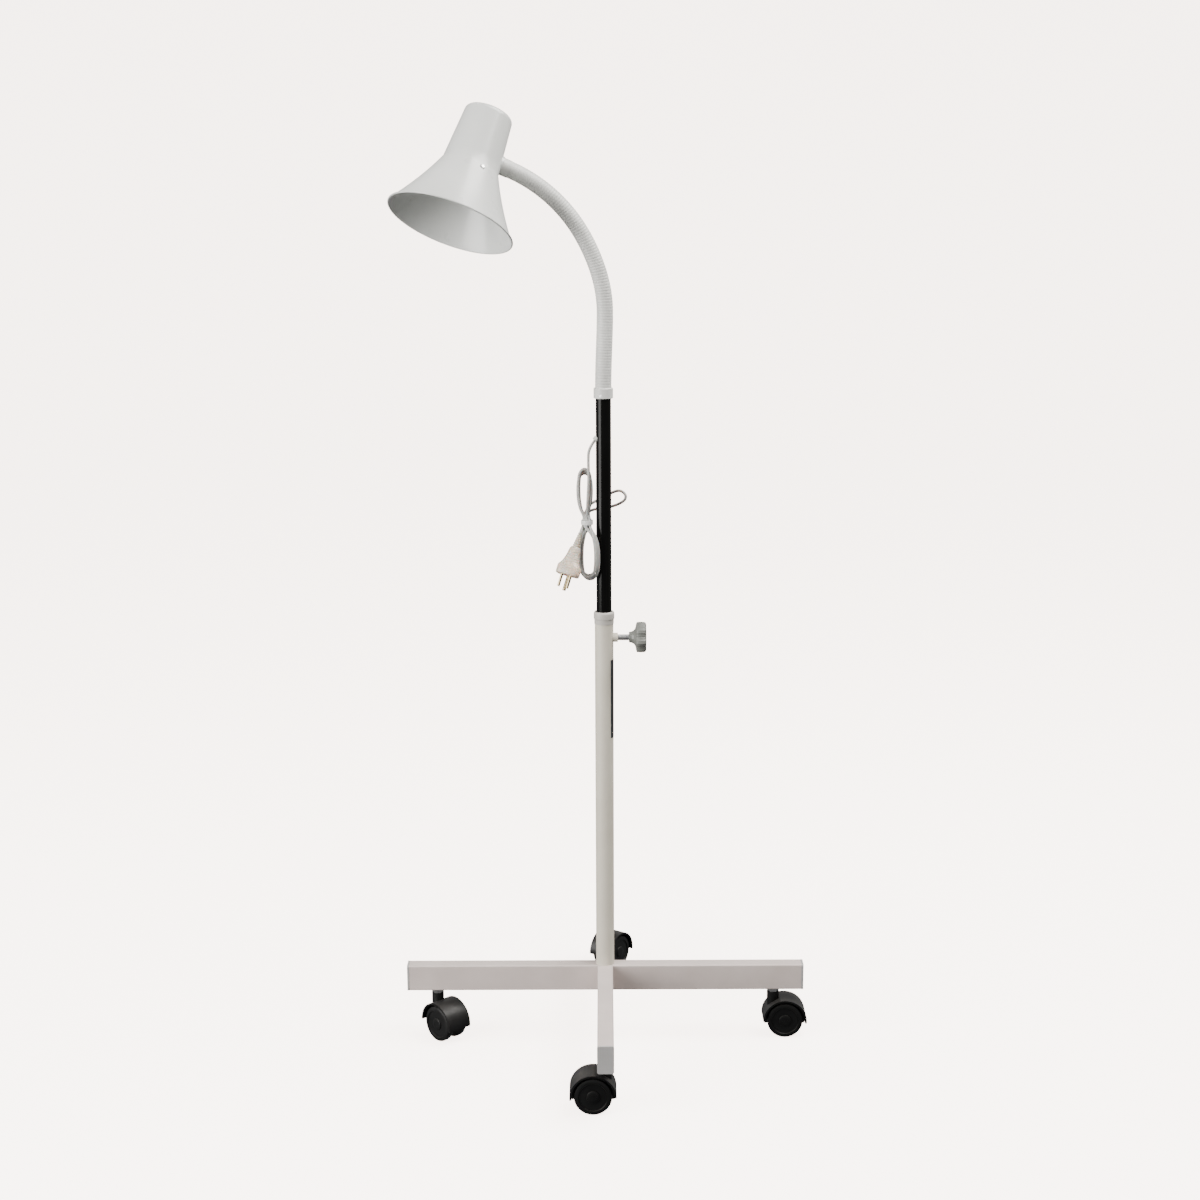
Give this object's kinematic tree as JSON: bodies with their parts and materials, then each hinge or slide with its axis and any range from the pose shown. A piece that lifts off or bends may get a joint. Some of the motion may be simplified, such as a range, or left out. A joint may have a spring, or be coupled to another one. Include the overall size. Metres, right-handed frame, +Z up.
{
  "type": "pharmacy floor lamp",
  "caption": "Rolling floor lamp with a flared shade on a bending gooseneck, a telescoping mast with a clamp knob and a cross base on hooded casters.",
  "frame": {"origin": "on the floor, on the axis of the mast", "axes": "+Z up along the mast, +X along the long beam of the base towards the clamp knob, -Y towards the front"},
  "size_m": [0.5633, 0.5656, 1.2853],
  "materials": {
    "cream_paint": "satin powder coat",
    "grey_plastic": "moulded",
    "black_plastic": "moulded",
    "zinc": "zinc plated",
    "ivory_plastic": "moulded",
    "dark_label": "printed film, no text",
    "knob_plastic": "moulded",
    "bush_plastic": "moulded",
    "black_paint": "gloss",
    "gooseneck": "ribbed hose, satin",
    "cord_pvc": "PVC",
    "tie_plastic": "moulded",
    "plug_pvc": "clear moulded",
    "brass": "nickel plated",
    "shade_enamel": "enamel",
    "rivet_steel": "domed",
    "holder_porcelain": "porcelain",
    "bulb_glass": "frosted"
  },
  "bodies": {
    "base": {"base_beam": "cream_paint", "base_arm_front": "cream_paint", "base_arm_rear": "cream_paint", "end_cap_left": "grey_plastic", "end_cap_right": "grey_plastic", "end_cap_front": "grey_plastic", "end_cap_rear": "grey_plastic", "caster_stem_left": "zinc", "caster_stem_right": "zinc", "caster_stem_front": "zinc", "caster_stem_rear": "zinc", "mast_tube_lower": "cream_paint", "foot_insert": "zinc", "foot_bolt": "zinc", "side_label": "dark_label", "guide_collar": "ivory_plastic", "clamp_boss": "cream_paint"},
    "caster_left": {"caster_hood_left": "black_plastic"},
    "wheel_left_a": {"caster_wheel_left_a": "black_plastic"},
    "wheel_left_b": {"caster_wheel_left_b": "black_plastic"},
    "caster_right": {"caster_hood_right": "black_plastic"},
    "wheel_right_a": {"caster_wheel_right_a": "black_plastic"},
    "wheel_right_b": {"caster_wheel_right_b": "black_plastic"},
    "caster_front": {"caster_hood_front": "black_plastic"},
    "wheel_front_a": {"caster_wheel_front_a": "black_plastic"},
    "wheel_front_b": {"caster_wheel_front_b": "black_plastic"},
    "caster_rear": {"caster_hood_rear": "black_plastic"},
    "wheel_rear_a": {"caster_wheel_rear_a": "black_plastic"},
    "wheel_rear_b": {"caster_wheel_rear_b": "black_plastic"},
    "clamp_pad": {"clamp_pad": "bush_plastic"},
    "clamp_screw": {"clamp_screw": "zinc", "clamp_knob": "knob_plastic"},
    "mast_slide": {"glide_bush": "bush_plastic"},
    "mast": {"mast_tube_upper": "black_paint", "cord_grommet": "bush_plastic", "neck_ferrule": "ivory_plastic", "ferrule_set_screw": "zinc", "neck_root": "gooseneck", "cord_lead": "cord_pvc", "cord_back_loop": "cord_pvc", "cord_hank": "cord_pvc", "cord_tie": "tie_plastic", "plug_body": "plug_pvc", "plug_strain_relief": "plug_pvc", "plug_blades": "brass", "plug_ground_pin": "brass"},
    "neck_1": {"neck_segment_1": "gooseneck"},
    "neck_2": {"neck_segment_2": "gooseneck"},
    "neck_3": {"neck_segment_3": "gooseneck"},
    "neck_4": {"neck_segment_4": "gooseneck"},
    "neck_tip": {"neck_end_ferrule": "ivory_plastic", "neck_nipple": "zinc", "nipple_nut": "zinc"},
    "head": {"shade": "shade_enamel", "shade_rivets": "rivet_steel", "holder_bracket": "zinc", "lamp_holder": "holder_porcelain", "bulb_cap": "brass", "bulb_glass": "bulb_glass"}
  },
  "joints": [
    {"name": "caster_left_swivel", "type": "hinge", "parent": "base", "child": "caster_left", "pos_m": [-0.237, 0, 0.06], "axis": [0, 0, 1], "continuous": true},
    {"name": "wheel_left_a_spin", "type": "hinge", "parent": "caster_left", "child": "wheel_left_a", "pos_m": [-0.22554, -0.01187, 0.025], "axis": [0.7193, 0.6947, 0], "continuous": true},
    {"name": "wheel_left_b_spin", "type": "hinge", "parent": "caster_left", "child": "wheel_left_b", "pos_m": [-0.22554, -0.01187, 0.025], "axis": [0.7193, 0.6947, 0], "continuous": true},
    {"name": "caster_right_swivel", "type": "hinge", "parent": "base", "child": "caster_right", "pos_m": [0.237, 0, 0.06], "axis": [0, 0, 1], "continuous": true},
    {"name": "wheel_right_a_spin", "type": "hinge", "parent": "caster_right", "child": "wheel_right_a", "pos_m": [0.2535, 0, 0.025], "axis": [0, 1, 0], "continuous": true},
    {"name": "wheel_right_b_spin", "type": "hinge", "parent": "caster_right", "child": "wheel_right_b", "pos_m": [0.2535, 0, 0.025], "axis": [0, 1, 0], "continuous": true},
    {"name": "caster_front_swivel", "type": "hinge", "parent": "base", "child": "caster_front", "pos_m": [0, -0.237, 0.06], "axis": [0, 0, 1], "continuous": true},
    {"name": "wheel_front_a_spin", "type": "hinge", "parent": "caster_front", "child": "wheel_front_a", "pos_m": [-0.0165, -0.237, 0.025], "axis": [0, -1, 0], "continuous": true},
    {"name": "wheel_front_b_spin", "type": "hinge", "parent": "caster_front", "child": "wheel_front_b", "pos_m": [-0.0165, -0.237, 0.025], "axis": [0, -1, 0], "continuous": true},
    {"name": "caster_rear_swivel", "type": "hinge", "parent": "base", "child": "caster_rear", "pos_m": [0, 0.237, 0.06], "axis": [0, 0, 1], "continuous": true},
    {"name": "wheel_rear_a_spin", "type": "hinge", "parent": "caster_rear", "child": "wheel_rear_a", "pos_m": [0.00946, 0.25052, 0.025], "axis": [-0.8192, 0.5736, 0], "continuous": true},
    {"name": "wheel_rear_b_spin", "type": "hinge", "parent": "caster_rear", "child": "wheel_rear_b", "pos_m": [0.00946, 0.25052, 0.025], "axis": [-0.8192, 0.5736, 0], "continuous": true},
    {"name": "clamp_travel", "type": "slide", "parent": "base", "child": "clamp_pad", "axis": [1, 0, 0], "range_m": [0, 0.0026]},
    {"name": "clamp_turn", "type": "hinge", "parent": "clamp_pad", "child": "clamp_screw", "pos_m": [0.03, 0, 0.578], "axis": [1, 0, 0], "range_deg": [0, 720]},
    {"name": "mast_height", "type": "slide", "parent": "base", "child": "mast_slide", "axis": [0, 0, 1], "range_m": [-0.15, 0.2]},
    {"name": "mast_turn", "type": "hinge", "parent": "mast_slide", "child": "mast", "pos_m": [0, 0, 0.5], "axis": [0, 0, -1], "continuous": true},
    {"name": "neck_bend_1", "type": "hinge", "parent": "mast", "child": "neck_1", "pos_m": [0, 0, 0.932], "axis": [0.1736, -0.9848, 0], "range_deg": [-24, 24]},
    {"name": "neck_sway_2", "type": "hinge", "parent": "neck_1", "child": "neck_2", "pos_m": [0, 0, 1.017], "axis": [0.9848, 0.1736, 0], "range_deg": [-18, 18]},
    {"name": "neck_bend_3", "type": "hinge", "parent": "neck_2", "child": "neck_3", "pos_m": [-0.01477, -0.00261, 1.093], "axis": [0.1736, -0.9848, 0], "range_deg": [-24, 24]},
    {"name": "neck_sway_4", "type": "hinge", "parent": "neck_3", "child": "neck_4", "pos_m": [-0.05688, -0.01003, 1.1576], "axis": [0.7004, 0.1235, 0.703], "range_deg": [-18, 18]},
    {"name": "neck_bend_5", "type": "hinge", "parent": "neck_4", "child": "neck_tip", "pos_m": [-0.12, -0.02116, 1.2011], "axis": [0.1736, -0.9848, 0], "range_deg": [-24, 24]},
    {"name": "head_twist", "type": "hinge", "parent": "neck_tip", "child": "head", "pos_m": [-0.16352, -0.02883, 1.21986], "axis": [-0.9065, -0.1598, 0.3907], "range_deg": [-90, 90]}
  ],
  "couplings": [
    {"joint": "clamp_travel", "follows": "clamp_turn", "m_per_rad": 0.00019894}
  ]
}
